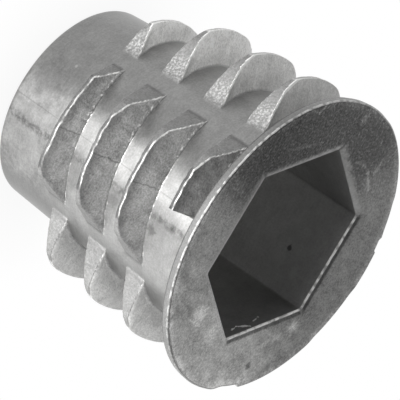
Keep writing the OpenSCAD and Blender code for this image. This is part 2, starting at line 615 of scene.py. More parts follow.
@dataclass
class RidgeThread:
    """The coarse right-hand thread, cut into four rows of ridges."""

    core: Core
    low: float
    high: float
    lead: float = 3.08
    height: float = 1.9
    crest_width: float = 0.26
    flank_deg: float = 17.0
    first_height: float = 4.47
    last_turn: float = 3.003
    end_slope: float = 60.0
    casting_offset: float = 0.05
    lead_in_share: float = 0.512
    lead_in_gain: float = 0.288
    lead_in_climb: float = 2.34
    late_side_deg: float = 0.8
    side_drop: float = 0.2
    side_share: float = 0.965
    corner_rounding: float = 0.06
    crest_rounding: float = 0.2
    foot_rounding: float = 0.08
    shoulder_rounding: float = 0.2
    end_rounding: float = 0.05
    late_rounding: float = 0.35
    wander: float = 0.12
    side_wander: float = 0.05
    shoulder: EndFlat = field(default_factory=lambda: EndFlat(16.0, 1.9, 22.8, 1.55))
    ramp: EndFlat = field(default_factory=lambda: EndFlat(22.8, 1.55, 41.2, 0.0))
    wander_per_mm: float = 1.6
    wander_radius: float = 7.0
    switch_turn: float = 0.02
    far_switch_turn: float = 0.03
    first_lead: float = -2.5
    leads: int = 7
    curve_guard: float = 1e-4
    below_first: float = 100.0
    # Rows of faces in half a lead, from the valley to the crest, each with the
    # distance from the crest at which it starts, in shares of the lead.
    half_rows: tuple[tuple[int, float], ...] = (
        (2, 0.5),
        (3, 0.252),
        (9, 0.225),
        (4, 0.055),
        (1, 0.03),
    )

    def spacing(self) -> tuple[int, list[tuple[float, float]]]:
        """Spreads the rows over one lead.

        Returns:
            The number of rows in a lead, and the knots of the curve that turns
            a share of the rows into a share of the lead.
        """
        total = 2 * sum(count for count, _ in self.half_rows)
        knots, row = [], 0
        for count, start in self.half_rows:
            knots.append((row / total, 0.5 - start))
            row += count
        mirrored = [(1 - share, 1 - place) for share, place in reversed(knots)]
        return total, knots + mirrored

    def row_height(self, tree: BodyTree, turn: Field, share: Field) -> Field:
        """Height of a row of vertices, which climbs with the thread.

        Args:
            tree: The body's tree.
            turn: Angle round the axis.
            share: Share of the rows.

        Returns:
            The height, kept between the ends of the wall.
        """
        _, knots = self.spacing()
        curve = tree.add("ShaderNodeFloatCurve")
        line = curve.mapping.curves[0]
        line.points[0].location = knots[0]
        line.points[1].location = knots[-1]
        for knot in knots[1:-1]:
            line.points.new(*knot)
        for point in line.points:
            point.handle_type = "VECTOR"
        curve.mapping.update()
        leads = share * float(self.leads)
        done = tree.math("FLOOR", leads + self.curve_guard)
        tree.feed(curve.inputs["Value"], leads - done)
        place = done + Field(tree, curve.outputs[0]) + self.first_lead
        height = self.start(tree, turn) + tree.size("Lead", self.lead) * (place + turn)
        return within(height, self.low, self.high)

    def start(self, tree: BodyTree, turn: Field) -> Field:
        """Height that the helix starts from, which is lower at the sides."""
        drop = ease(cosine(turn), *SIDES) * self.side_drop
        return tree.size("First ridge height", self.first_height) - drop

    def relief(self, tree: BodyTree, turn: Field, height: Field) -> tuple[Field, Marks]:
        """How far the ridges stand above the core.

        Args:
            tree: The body's tree.
            turn: Angle round the axis.
            height: Height along the axis.

        Returns:
            The relief, and the marks that tell its parts.
        """
        lead = tree.size("Lead", self.lead)
        slope = math.tan(math.radians(self.flank_deg))
        half_crest = tree.size("Crest width", self.crest_width) * 0.5
        ahead = cosine(turn)
        spot = tree.vector(sine(turn) * self.wander_radius, ahead * self.wander_radius, height)
        sideways = ease(ahead, *SIDES)
        reach = blend(self.wander, self.side_wander, sideways)
        wander = (tree.noise(spot, self.wander_per_mm, detail=3.0) - 0.5) * reach
        place = (height - self.start(tree, turn) + wander) / lead - turn
        number = whole(place)
        offset = (place - number) * lead
        travelled = turn + number
        quarter = whole(travelled / QUARTER)
        bearing = travelled - quarter * QUARTER
        full = tree.size("Ridge height", self.height) - sine(turn) * self.casting_offset
        full = full * blend(1.0, self.side_share, ease(sine(turn), *LEFT))
        step = self.lead_in_share + (quarter + 1) * self.lead_in_gain
        share = lowest(step + bearing * self.lead_in_climb, 1.0)
        crest = full * share + wander
        lean = (full - crest) * slope
        upper = full - (offset - half_crest) / slope
        lower = crest - (lean - half_crest - offset) / slope
        body = lowest(lowest(upper, crest, self.corner_rounding), lower, self.crest_rounding)
        late = ease(bearing, 0.0, self.switch_turn) * ease(ahead, *FRONT)
        side = magnitude(bearing) + late * (self.late_side_deg * DEGREE)
        middle_radius = (self.core.nose_radius + self.core.top_radius) / 2
        flats = []
        for flat in (self.shoulder, self.ramp):
            direction, distance = flat.line(middle_radius)
            flats.append(distance / cosine(side - direction) - middle_radius)
        ends = lowest(flats[0], flats[1], self.shoulder_rounding)
        far = ease(bearing, 0.0, -self.far_switch_turn) * sideways
        softness = blend(self.end_rounding, self.late_rounding, highest(late, far))
        cut = tree.math("SMOOTH_MIN", body, ends, softness)
        stop = (self.last_turn - travelled) * (TAU * self.core.top_radius * self.end_slope)
        ridge = lowest(lowest(cut, stop), (number + 0.5) * self.below_first)
        marks = {
            Mark.RELIEF: highest(ridge, 0.0),
            Mark.CORNER: within(upper - crest, -1.0, 1.0),
            Mark.END: within(ends - body, -1.0, 1.0),
        }
        return highest(ridge, 0.0, self.foot_rounding), marks

    def wall(self, tree: BodyTree, turn: Field, height: Number) -> Ring:
        """A ring of the outer wall.

        Args:
            tree: The body's tree.
            turn: Angle round the axis.
            height: Height along the axis.

        Returns:
            Its radius and height.
        """
        climb = height if isinstance(height, Field) else turn * 0.0 + height
        relief, _ = self.relief(tree, turn, climb)
        return self.core.radius(tree, climb) + relief, climb

    def add(self, tree: BodyTree) -> None:
        """Adds the core with its ridges.

        Args:
            tree: The body's tree.
        """
        rows, _ = self.spacing()
        found: Marks = {}

        def shape(turn: Field, share: Field) -> Ring:
            """A ring of the wall, whose marks are kept."""
            height = self.row_height(tree, turn, share)
            relief, marks = self.relief(tree, turn, height)
            found.update(marks)
            return self.core.radius(tree, height) + relief, height

        tree.zone(rows * self.leads, shape, found)


@dataclass(frozen=True)
class Nick:
    """A small loss on the flange rim."""

    at_deg: float
    half_width_deg: float
    depth: float
    before_deg: float
    after_deg: float


@dataclass
class Flange:
    """The thin flange with its rounded, nicked rim."""

    core: Core
    radius: float = 8.65
    thickness: float = 0.5
    rim_round: float = 0.14
    edge_round: float = 0.09
    draft: float = 0.04
    offset: float = 0.07
    offset_deg: float = 150.0
    root_rows: int = 6
    seat_rows: int = 4
    face_rows: int = 20
    rim_rows: int = 14
    flat_rows: int = 2
    crowding: float = 0.7
    nicks: tuple[Nick, ...] = (
        Nick(102.8, 4.0, 0.2, 6.5, 1.5),
        Nick(157.0, 9.0, 0.1, 5.0, 5.0),
        Nick(187.5, 2.2, 0.15, 0.8, 0.8),
        Nick(199.0, 5.0, 0.06, 4.0, 4.0),
        Nick(262.0, 12.0, 0.05, 8.0, 8.0),
    )

    @property
    def underside(self) -> float:
        """Height of the flange's seat."""
        return self.core.overall - self.thickness

    def rim(self, tree: BodyTree, turn: Field) -> Field:
        """Radius of the rim, with the casting offset and the nicks.

        Args:
            tree: The body's tree.
            turn: Angle round the axis.

        Returns:
            The radius.
        """
        radius = tree.size("Flange radius", self.radius)
        radius = radius + cosine(turn - self.offset_deg * DEGREE) * self.offset
        for nick in self.nicks:
            away = tree.math("WRAP", turn - nick.at_deg * DEGREE, 0.5, -0.5)
            reach = nick.half_width_deg * DEGREE
            cut = ease(away, -reach - nick.before_deg * DEGREE, -reach)
            cut = cut * ease(away, reach + nick.after_deg * DEGREE, reach)
            radius = radius - cut * nick.depth
        return radius

    def add_seat(self, tree: BodyTree) -> None:
        """Adds the root fillet and the underside.

        Args:
            tree: The body's tree.
        """
        fillet = self.core.root_fillet
        start = self.underside - fillet
        found: Marks = {}

        def root(turn: Field, share: Field) -> Ring:
            """A ring of the fillet."""
            base = self.core.radius(tree, turn * 0.0 + start)
            lean = share * QUARTER
            return base + (1 - cosine(lean)) * fillet, sine(lean) * fillet + start

        def underside(turn: Field, share: Field) -> Ring:
            """A ring of the seat."""
            base = self.core.radius(tree, turn * 0.0 + start) + fillet
            edge = self.rim(tree, turn) - self.rim_round - self.draft
            found[Mark.RIM] = share - (1.0 + self.thickness)
            return blend(base, edge, share), share * 0.0 + self.underside

        tree.zone(self.root_rows, root)
        tree.zone(self.seat_rows, underside, found)

    def add_rim(self, tree: BodyTree) -> None:
        """Adds the rim, rounded below and nearly sharp above.

        Args:
            tree: The body's tree.
        """
        found: Marks = {}

        def shape(turn: Field, share: Field) -> Ring:
            """A ring of the rim: its lower edge, its flat or its upper edge."""
            lean = (share - 0.5) * (2 * QUARTER)
            upper = within((share - 0.5) * (self.rim_rows / self.flat_rows) + 0.5, 0.0, 1.0)
            rounding = blend(self.rim_round, self.edge_round, upper)
            top = self.core.overall - self.edge_round
            flat = blend(self.underside + self.rim_round, top, upper)
            drawn = (1.0 - upper) * self.draft
            radius = self.rim(tree, turn) - drawn + (cosine(lean) - 1.0) * rounding
            height = sine(lean) * rounding + flat
            found[Mark.RIM] = height - self.core.overall
            return radius, height

        tree.zone(self.rim_rows, shape, found)

    def add_face(self, tree: BodyTree, mouth: Callable[[Field], Field], bevel_width: float) -> None:
        """Adds the top face, from the rim to the mouth of the socket.

        Args:
            tree: The body's tree.
            mouth: Radius of the mouth at a turn.
            bevel_width: Width of the bevel that follows.
        """
        found: Marks = {}

        def shape(turn: Field, share: Field) -> Ring:
            """A ring of the face. The rings lie closer together near the rim."""
            rim = self.rim(tree, turn) - self.edge_round
            steps = share * share * self.crowding + share * (1.0 - self.crowding)
            radius = blend(rim, mouth(turn), steps)
            found[Mark.RIM] = rim - radius
            found[Mark.LIP] = radius - mouth(turn) + bevel_width
            return radius, share * 0.0 + self.core.overall

        tree.zone(self.face_rows, shape, found)


@dataclass
class HexSocket:
    """The hex drive socket with a soft bevel and a burr on two sides."""

    HALF_SIDE_DEG: ClassVar[float] = 30.0

    core: Core
    across_flats: float = 10.0
    depth: float = 7.5
    corner_deg: float = 25.0
    bevel_width: float = 0.42
    bevel_depth: float = 0.12
    corner_round: float = 0.12
    arris: float = 0.05
    corner_cut: float = 0.02
    burr_height: float = 0.05
    burr_per_mm: float = 2.2
    groove_depth: float = 0.03
    burr_deg: tuple[float, ...] = (115.0, 175.0)
    bevel_rows: int = 9
    corner_rows: int = 4
    wall_rows: int = 12
    ledge_rows: int = 4

    @property
    def floor(self) -> float:
        """Height of the ledge at the bottom."""
        return self.core.overall - self.depth

    def hexagon(self, tree: BodyTree, turn: Field, grow: Number) -> Field:
        """Radius of a hexagon at a turn, with slightly rounded corners.

        Args:
            tree: The body's tree.
            turn: Angle round the axis.
            grow: How much larger the hexagon's apothem is than the socket's.

        Returns:
            The radius.
        """
        apothem = tree.size("Socket across flats", self.across_flats) * 0.5 + grow
        middle = (self.corner_deg + self.HALF_SIDE_DEG) * DEGREE
        reach = self.HALF_SIDE_DEG * DEGREE
        sixth = tree.math("WRAP", turn - middle, reach, -reach)
        cap = apothem * (1 / math.cos(math.pi / 6)) - self.corner_cut
        return lowest(apothem / cosine(sixth), cap, self.corner_round)

    def mouth(self, tree: BodyTree, turn: Field) -> Field:
        """Outer edge of the bevel."""
        return self.hexagon(tree, turn, self.bevel_width)

    def burr(self, tree: BodyTree, turn: Field) -> Field:
        """Height of the uneven burr that the tool left along two sides.

        Args:
            tree: The body's tree.
            turn: Angle round the axis.

        Returns:
            The height, 0 along the other sides.
        """
        reach = self.across_flats * 0.55
        spot = tree.vector(sine(turn) * reach, cosine(turn) * reach, 0.0)
        rough = tree.noise(spot, self.burr_per_mm, detail=4.0)
        height = (ease(rough, 0.35, 0.6) * 0.7 + 0.3) * self.burr_height
        return along_sides(turn, self.burr_deg) * height

    def add(self, tree: BodyTree, bore: Callable[[Field], Field]) -> None:
        """Adds the bevel, the walls and the ledge.

        Args:
            tree: The body's tree.
            bore: Radius of the bore's mouth at a turn.
        """
        top = self.core.overall
        lip = top - self.bevel_depth
        found: dict[str, Marks] = {name: {Mark.RIM: INSIDE} for name in ("bevel", "corner", "wall")}

        def bevel(turn: Field, share: Field) -> Ring:
            """A ring of the bevel, with a groove and the rise of the burr."""
            grow = (1 - share) * (self.bevel_width - self.arris) + self.arris
            sink = share * share * self.bevel_depth
            rise = ease(share, 0.7, 1.0) * self.burr(tree, turn)
            band = between(share, (0.35, 0.6), (0.85, 1.0))
            groove = along_sides(turn, self.burr_deg) * band * self.groove_depth
            found["bevel"][Mark.LIP] = grow
            return self.hexagon(tree, turn, grow), rise - sink - groove + top

        def corner(turn: Field, share: Field) -> Ring:
            """A ring of the rounded arris under the bevel."""
            lean = share * QUARTER
            grow = (1 - sine(lean)) * self.arris
            rise = self.burr(tree, turn) * (1 - share)
            found["corner"][Mark.LIP] = grow
            return self.hexagon(tree, turn, grow), rise + (cosine(lean) - 1.0) * self.arris + lip

        def wall(turn: Field, share: Field) -> Ring:
            """A ring of the upright wall."""
            start = lip - self.arris
            height = share * (self.floor - start) + start
            found["wall"][Mark.LIP] = height - start
            return self.hexagon(tree, turn, 0.0), height

        def ledge(turn: Field, share: Field) -> Ring:
            """A ring of the ledge round the bore."""
            return blend(self.hexagon(tree, turn, 0.0), bore(turn), share), share * 0.0 + self.floor

        tree.zone(self.bevel_rows, bevel, found["bevel"])
        tree.zone(self.corner_rows, corner, found["corner"])
        tree.zone(self.wall_rows, wall, found["wall"])
        tree.zone(self.ledge_rows, ledge, {Mark.RIM: INSIDE, Mark.LIP: -self.depth})


@dataclass
class ScrewThread:
    """The right-hand machine thread in the bore."""

    top: float
    minor_radius: float
    pitch: float = 1.25
    depth_share: float = 0.5413
    lead_in: float = 0.5
    lead_in_rounding: float = 0.05
    rows_per_pitch: int = 10

    def radius(self, tree: BodyTree, turn: Field, height: Number) -> Field:
        """Radius of the threaded wall.

        Args:
            tree: The body's tree.
            turn: Angle round the axis.
            height: Height along the axis.

        Returns:
            The radius, with the countersink at the nose.
        """
        pitch = tree.size("Screw pitch", self.pitch)
        minor = tree.size("Screw minor radius", self.minor_radius)
        place = (height - pitch * turn) / pitch
        away = magnitude(place - whole(place)) * pitch
        depth = self.depth_share * self.pitch
        groove = within((away - pitch / 8) * math.tan(math.pi / 3), 0.0, depth)
        countersink = turn * 0.0 + self.lead_in - height
        return highest(minor + groove, minor + countersink, self.lead_in_rounding)

    def add(self, tree: BodyTree) -> None:
        """Adds the bore, from the ledge to the nose face.

        Args:
            tree: The body's tree.
        """
        step = self.pitch / self.rows_per_pitch
        rows = math.ceil((self.top + self.pitch) / step)

        def shape(turn: Field, share: Field) -> Ring:
            """A ring of the bore, which drops along the thread."""
            pitch = tree.size("Screw pitch", self.pitch)
            start = pitch * (turn - BodyTree.FIRST_TURN) + self.top
            height = within(start - share * (rows * step), 0.0, self.top)
            return self.radius(tree, turn, height), height

        tree.zone(rows, shape, {Mark.RIM: INSIDE, Mark.LIP: -self.top})


# --------------------------------------------------------------------------
# The finish
# --------------------------------------------------------------------------


@dataclass(frozen=True)
class Skin:
    """Tone, roughness and share of dull oxide of a surface.

    They are plain numbers in a recipe, and fields once patterns are worked
    into them.
    """

    tone: Number
    roughness: Number
    oxide: Number = 0.0

    def under(self, other: "Skin", share: Field) -> "Skin":
        """Lays another skin over this one.

        Args:
            other: The skin on top.
            share: Where it lies, from 0 to 1.

        Returns:
            The mixed skin.
        """
        return Skin(
            blend(self.tone, other.tone, share),
            blend(self.roughness, other.roughness, share),
            blend(self.oxide, other.oxide, share),
        )


class Surface:
    """Where a point lies on the casting, and the patterns that it is given."""

    GRAIN_PER_MM = 9.0
    MOTTLE_PER_MM = 1.2
    RAGGED_PER_MM = 3.5
    STREAK_PER_MM = (1.1, 8.0)
    STREAK_RADIUS = 6.3
    FOOT_PER_MM = 8.0

    def __init__(self, writer: NodeWriter) -> None:
        """Reads the place, the marks and the patterns.

        Args:
            writer: The material's tree.
        """
        self.writer = writer
        place = writer.add("ShaderNodeTexCoord").outputs["Object"]
        self.spot = writer.scaled(place, (1 / MM,) * 3)
        self.x, self.y, self.height = writer.parts(self.spot)
        self.turn = writer.math("ARCTAN2", self.x, -self.y) * (1 / TAU)
        self.bearing = writer.math("WRAP", self.turn, QUARTER / 2, -QUARTER / 2)
        self.marks = {mark: self.read(mark) for mark in Mark}
        self.grain = writer.noise(self.spot, self.GRAIN_PER_MM, 3.0, 0.7)
        self.mottle = writer.noise(self.spot, self.MOTTLE_PER_MM, 4.0, 0.62, 0.3)
        self.ragged = writer.noise(self.spot, self.RAGGED_PER_MM, 2.0, 0.6) - 0.5
        around = self.turn * (TAU * self.STREAK_RADIUS * self.STREAK_PER_MM[0])
        streaks = writer.vector(around, self.height * self.STREAK_PER_MM[1], 0.0)
        self.streak = writer.noise(streaks, 1.0, 3.0, 0.6)
        rim = self.marks[Mark.RIM]
        self.face = ease(rim, 0.0, 0.02)
        self.rim_side = ease(rim, -0.6, -0.5)
        self.outside = ease(rim, -0.45, -0.5)
        self.socket = ease(self.marks[Mark.LIP], 0.01, -0.04)
        self.standing = within(self.marks[Mark.RELIEF] * self.FOOT_PER_MM, 0.0, 1.0)
        self.on_ends = ease(self.marks[Mark.END], 0.03, -0.06) * self.standing
        self.on_flank = ease(self.marks[Mark.END], -0.03, 0.03)
        self.facing = cosine(self.turn)
        self.front = ease(self.facing, *FRONT)
        self.left = ease(sine(self.turn), *LEFT)
        self.right = ease(sine(self.turn), *RIGHT)
        self.late = ease(self.bearing, -0.02, 0.02)

    def read(self, mark: Mark) -> Field:
        """Reads one of the body's marks."""
        node = self.writer.add("ShaderNodeAttribute", attribute_name=mark.value)
        return Field(self.writer, node.outputs["Fac"])

    def varied(self, mottle: float = 0.0, grain: float = 0.0, streak: float = 0.0) -> Field:
        """An uneven factor with a mean near 1.

        Args:
            mottle: Strength of the soft patches.
            grain: Strength of the fine grain.
            streak: Strength of the turned bands.

        Returns:
            The factor.
        """
        factor: Number = 1.0
        for pattern, strength in ((self.mottle, mottle), (self.streak, streak), (self.grain, grain)):
            if strength:
                factor = factor + (pattern - 0.5) * strength
        return factor

    def beads(self, per_mm: float, span: Span, faint: float = 0.0, strong: float = 1.0) -> Field:
        """A pattern of small spots.

        Args:
            per_mm: How many spots there are to the millimetre.
            span: Values of the noise between which a spot fades in.
            faint: The value between the spots.
            strong: The value in the spots.

        Returns:
            The pattern.
        """
        return ease(self.writer.noise(self.spot, per_mm, 1.0), *span) * (strong - faint) + faint

    def gaps(self, place: Sequence[float]) -> list[Field]:
        """The way from a place to the point, in its three parts."""
        return [value - start for value, start in zip((self.x, self.y, self.height), place)]

    def length(self, gaps: Sequence[Field]) -> Field:
        """Length of a way given by its three parts."""
        across, along, up = gaps
        return self.writer.math("SQRT", across * across + along * along + up * up)


@dataclass(frozen=True)
class ToneSpot:
    """A spot with a torn outline, lighter or darker than its ground, for stains and for patches of
    painted sheen and shade.
    """

    place: tuple[float, float, float]
    reach: float
    tone: float

    def share(self, surface: Surface) -> Field:
        """How far the point lies inside the spot, from 0 to 1."""
        torn = surface.length(surface.gaps(self.place)) + surface.ragged * (self.reach * 2.2)
        return ease(torn, self.reach * 1.4, self.reach * 0.5)


@dataclass(frozen=True)
class Scratch:
    """A thin scratch or hair of metal between two points, the brightest of them painted glints."""

    start: tuple[float, float, float]
    end: tuple[float, float, float]
    half_width: float
    tone: float

    def share(self, surface: Surface) -> Field:
        """How far the point lies inside the scratch.

        Args:
            surface: The patterns of the surface.

        Returns:
            The share, from 0 to 1.
        """
        length = math.dist(self.start, self.end)
        lead = [(b - a) / length for a, b in zip(self.start, self.end)]
        gaps = surface.gaps(self.start)
        run = gaps[0] * lead[0] + gaps[1] * lead[1] + gaps[2] * lead[2]
        run = within(run, 0.0, length)
        away = surface.length([gap - run * part for gap, part in zip(gaps, lead)])
        return ease(away + surface.ragged * 0.25, self.half_width * 1.5, self.half_width * 0.5)


@dataclass(frozen=True)
class ZincFinish:
    """Raw die-cast zinc: greyer and rougher where the mould was rough.

    Pairs of numbers are a direction, or a side of the socket, in degrees and
    a strength or a width. Bands are the spans of a mark in which a line fades
    in and out. Some tones are painted light and shade: bright lines along the
    edges, dark lines along rims and creases, and lighter and darker sides.
    """

    name: str = "cast_zinc"
    core: Skin = Skin(0.29, 0.38)
    flank: Skin = Skin(0.31, 0.65, 0.9)
    # The flanks on the left: less dull, and with a tone painted lighter as if light fell on them.
    painted_light_flank: Skin = Skin(0.55, 0.65, 0.35)
    end: Skin = Skin(0.22, 0.55, 0.6)
    early_end_tone: float = 0.2
    rim_side: Skin = Skin(0.14, 0.6, 0.7)
    face_ground: Skin = Skin(0.36, 0.45)
    socket: Skin = Skin(0.43, 0.4, 0.1)
    # Tone and oxide of the bright edge lines, which are painted highlights and wear.
    wear_and_glint_tone: float = 0.9
    edge_oxide: float = 0.6
    # How dark the lines of painted shade get.
    painted_shade_depth: float = 0.55
    tint: tuple[float, float, float] = (1.0, 0.998, 0.985)
    grain_depth: float = 0.02
    least_grain: float = 0.15
    face_grain: float = 0.5
    turned_relief: float = 0.2
    turning: float = 0.75
    # Painted shade on one side of the face and painted light towards two others, each a direction in
    # degrees and a strength.
    face_painted_shade: tuple[float, float] = (284.0, 0.7)
    face_painted_light: tuple[float, float] = (82.0, 0.45)
    face_painted_light_front: tuple[float, float] = (10.0, 0.33)
    cloud_axis: tuple[float, float] = (0.98, 0.2)
    cloud_stretch: float = 0.55
    smudge_deg: float = 11.5
    burr_deg: tuple[float, ...] = (115.0, 175.0)
    # Painted light and shade on the socket's walls: the side in degrees and the change of tone.
    wall_painted_light: tuple[tuple[float, float], ...] = ((115.0, -0.12), (175.0, 0.19), (235.0, 0.35))
    # Sides of the socket's bevel painted lighter, as light falls on them, each with the width of the
    # band.
    painted_light_bevel_sides: tuple[tuple[float, float], ...] = ((235.0, 0.55), (295.0, 0.5), (355.0, 0.9))
    # Bands of the thin lines of painted shade.
    shade_below_rim: Band = ((-0.56, -0.5), (-0.42, -0.36))
    shade_by_burr: Band = ((0.1, 0.15), (0.24, 0.34))
    shade_at_foot: Band = ((0.01, 0.04), (0.08, 0.22))
    # Bands of the bright lines of painted highlight and wear.
    rim_wear_and_glint_band: Band = ((-0.1, -0.06), (-0.01, 0.01))
    burr_wear_and_glint_band: Band = ((-0.03, 0.0), (0.07, 0.12))
    crest_wear_and_glint_band: Band = ((-0.05, 0.0), (0.16, 0.26))
    crease_wear_and_glint_band: Band = ((-0.1, -0.04), (0.06, 0.12))
    foot_wear_and_glint_band: Band = ((0.005, 0.03), (0.12, 0.3))
    spots_and_sheens: tuple[ToneSpot, ...] = (
        ToneSpot((4.76, -4.23, 15.7), 0.58, 1.6),
        ToneSpot((5.67, -2.35, 15.7), 0.5, 1.2),
        ToneSpot((4.4, 4.76, 15.7), 0.45, 1.65),
        ToneSpot((8.07, -0.73, 15.7), 0.35, 1.3),
        ToneSpot((7.92, 0.62, 15.7), 0.4, 1.25),
        ToneSpot((7.69, 2.71, 15.7), 0.42, 1.3),
        ToneSpot((6.97, 2.57, 15.7), 0.2, 0.42),
        ToneSpot((-7.70, 1.05, 15.7), 0.3, 2.0),
        ToneSpot((0.95, 4.94, 13.1), 0.14, 0.35),
        # Painted sheen on the right of the nose, and painted shade over the left of its highlight.
        ToneSpot((2.14, -5.29, 1.8), 1.9, 1.3),
        ToneSpot((-0.8, -5.6, 1.6), 1.6, 0.82),
        ToneSpot((2.05, -6.16, 11.8), 0.3, 0.65),
        ToneSpot((1.9, -5.95, 8.75), 0.35, 0.8),
        ToneSpot((1.35, -6.46, 13.1), 0.25, 0.75),
        ToneSpot((-2.67, -5.03, 2.4), 0.1, 1.7),
    )
    scratches_and_glints: tuple[Scratch, ...] = (
        Scratch((-5.35, 2.46, 15.7), (-5.28, 3.24, 15.7), 0.09, 1.6),
        Scratch((-5.28, 3.24, 15.7), (-4.89, 4.04, 15.7), 0.09, 1.7),
        Scratch((-4.89, 4.04, 15.7), (-4.0, 4.87, 15.7), 0.09, 1.7),
        Scratch((-5.79, 4.73, 15.7), (-5.0, 4.64, 15.7), 0.12, 1.4),
        Scratch((-6.84, 3.65, 15.7), (-6.56, 3.79, 15.7), 0.08, 1.6),
        Scratch((-5.11, -4.17, 15.7), (-5.87, -1.57, 15.7), 0.09, 1.5),
        Scratch((-7.39, -3.2, 15.7), (-8.01, -2.93, 15.7), 0.08, 2.0),
        # Painted glints on a hair of metal at the socket's burr, far brighter than the ground.
        Scratch((5.38, 0.29, 15.13), (5.18, 0.71, 15.01), 0.05, 7.0),
        Scratch((5.18, 0.71, 15.01), (4.88, 1.37, 15.36), 0.05, 8.0),
        Scratch((4.67, 1.82, 15.11), (4.44, 2.31, 14.97), 0.05, 4.0),
    )

    def material(self) -> bpy.types.Material:
        """Builds the material.

        Returns:
            The material, which reads Object coordinates and the body's marks.
        """
        material = bpy.data.materials.new(self.name)
        material.use_nodes = True
        writer = NodeWriter(material.node_tree)
        material.node_tree.nodes.clear()
        surface = Surface(writer)
        skin = self.outside(surface)
        skin = skin.under(self.face(surface), surface.face)
        skin = skin.under(self.socket_wall(surface), surface.socket)
        # Painted highlights and wear: bright lines and beads along the edges, mixed over the tone.
        wear_and_glint = self.wear_and_glint(surface)
        tone = skin.tone * self.shade(surface) * self.spots_and_sheen_factor(surface)
        tone = blend(tone, self.wear_and_glint_tone, wear_and_glint)
        oxide = blend(skin.oxide, self.edge_oxide, wear_and_glint)

        bump = writer.add("ShaderNodeBump")
        grainy = strongest(surface.standing, surface.face * self.face_grain, self.least_grain)
        turned = surface.streak * surface.outside * (1.0 - surface.standing) * self.turned_relief
        writer.feed(bump.inputs["Height"], surface.grain * grainy + turned)
        bump.inputs["Strength"].default_value = 1.0
        bump.inputs["Distance"].default_value = self.grain_depth * MM
        shader = writer.add("ShaderNodeBsdfPrincipled")
        colour = writer.add("ShaderNodeCombineColor")
        for socket, tint in zip(colour.inputs, self.tint):
            writer.feed(socket, tone * tint)
        writer.feed(shader.inputs["Base Color"], colour.outputs[0])
        writer.feed(shader.inputs["Roughness"], skin.roughness)
        writer.feed(shader.inputs["Normal"], bump.outputs[0])
        writer.feed(shader.inputs["Metallic"], 1.0 - oxide)
        shader.inputs["Anisotropic"].default_value = self.turning
        shader.inputs["Anisotropic Rotation"].default_value = QUARTER
        around = writer.add("ShaderNodeTangent", direction_type="RADIAL", axis="Z")
        writer.feed(shader.inputs["Tangent"], around.outputs[0])
        output = writer.add("ShaderNodeOutputMaterial")
        writer.feed(output.inputs["Surface"], shader.outputs[0])
        return material

    def outside(self, surface: Surface) -> Skin:
        """Skin of the core, the ridges and the side of the rim.

        Args:
            surface: The patterns of the surface.

        Returns:
            The skin.
        """
        skin = self.core_wall(surface).under(self.ridge_flank(surface), surface.standing)
        skin = skin.under(self.ridge_end(surface), surface.on_ends)
        skin = replace(skin, tone=skin.tone * self.witness(surface))
        # Painted light and shade: the side of the rim is darker in front and lighter away from it.
        rim_side_painted_light = self.rim_side.tone * (1.0 + ease(surface.facing, 0.7, 0.1) * 1.2)
        rim = replace(self.rim_side, tone=rim_side_painted_light * surface.varied(grain=1.2))
        return skin.under(rim, surface.rim_side)

    def core_wall(self, surface: Surface) -> Skin:
        """Skin of the core, a little smoother near the nose.

        Args:
            surface: The patterns of the surface.

        Returns:
            The skin.
        """
        tone = self.core.tone * surface.varied(mottle=0.6, streak=0.3) * surface.varied(grain=0.7)
        tone = tone * (0.96 + ease(surface.height, 3.0, 5.5) * 0.1) * self.smudge(surface)
        roughness = self.core.roughness + (surface.mottle - 0.5) * 0.15
        return Skin(tone, roughness - ease(surface.height, 4.6, 3.0) * 0.06)

    def ridge_flank(self, surface: Surface) -> Skin:
        """Skin of the flanks, which is less dull on the left and painted lighter there.

        Args:
            surface: The patterns of the surface.

        Returns:
            The skin.
        """
        # Painted light on the left flanks, strongest away from the flange.
        left_painted_light = self.painted_light_flank.tone * (1.0 + ease(surface.height, 14.0, 4.0) * 0.5)
        calm = 1.0 - highest(surface.left, surface.right) * 0.5
        spotty = (surface.varied(mottle=1.4, grain=2.0) - 1.0) * calm + 1.0
        tone = spotty * blend(self.flank.tone, left_painted_light, surface.left)
        shading = blend(self.side_shading(surface), self.front_shading(surface), surface.front)
        oxide = blend(self.flank.oxide, self.painted_light_flank.oxide, surface.left)
        return Skin(tone * shading, self.flank.roughness, oxide)

    @staticmethod
    def front_shading(surface: Surface) -> Field:
        """The factor of painted shade on the flanks in front, which darken towards the crest.

        Args:
            surface: The patterns of the surface.

        Returns:
            The factor, lower near the late end and on the last ridge.
        """
        by_crest = 0.88 - ease(surface.marks[Mark.CORNER], -0.9, -0.03) * 0.42
        by_end = 1.0 - ease(surface.marks[Mark.END], 0.5, 0.1) * surface.late * 0.3
        last = ease(surface.height, 11.8, 12.8) * 0.33
        return by_crest * by_end * (1.0 - ease(surface.bearing, -0.03, 0.09) * 0.15 - last)

    @staticmethod
    def side_shading(surface: Surface) -> Field:
        """The factor of painted light and shade on the flanks at the sides, which darken towards the
        core.

        Args:
            surface: The patterns of the surface.

        Returns:
            The factor, lower in the hollow by the crease on the left.
        """
        relief = surface.marks[Mark.RELIEF]
        rise = ease(relief, 0.3, 1.5) * 0.5
        right = (rise + 0.94) * (ease(surface.height, 4.0, 11.0) * 0.2 + 0.92)
        hollow = ease(surface.marks[Mark.END], 0.9, 0.1) * ease(relief, 1.5, 0.3)
        return blend(right, rise * 0.3 + 1.05, surface.left) * (1.0 - hollow * surface.left * 0.32)

    def ridge_end(self, surface: Surface) -> Skin:
        """Skin of the slanting ends of the ridges.

        Args:
            surface: The patterns of the surface.

        Returns:
            The skin.
        """
        # Painted shade: the late ends in front are darker by a fifth.
        late = self.end.tone * (1.0 - surface.front * 0.2)
        tone = blend(self.early_end_tone, late, surface.late)
        return replace(self.end, tone=tone * surface.varied(mottle=0.6, grain=1.6))

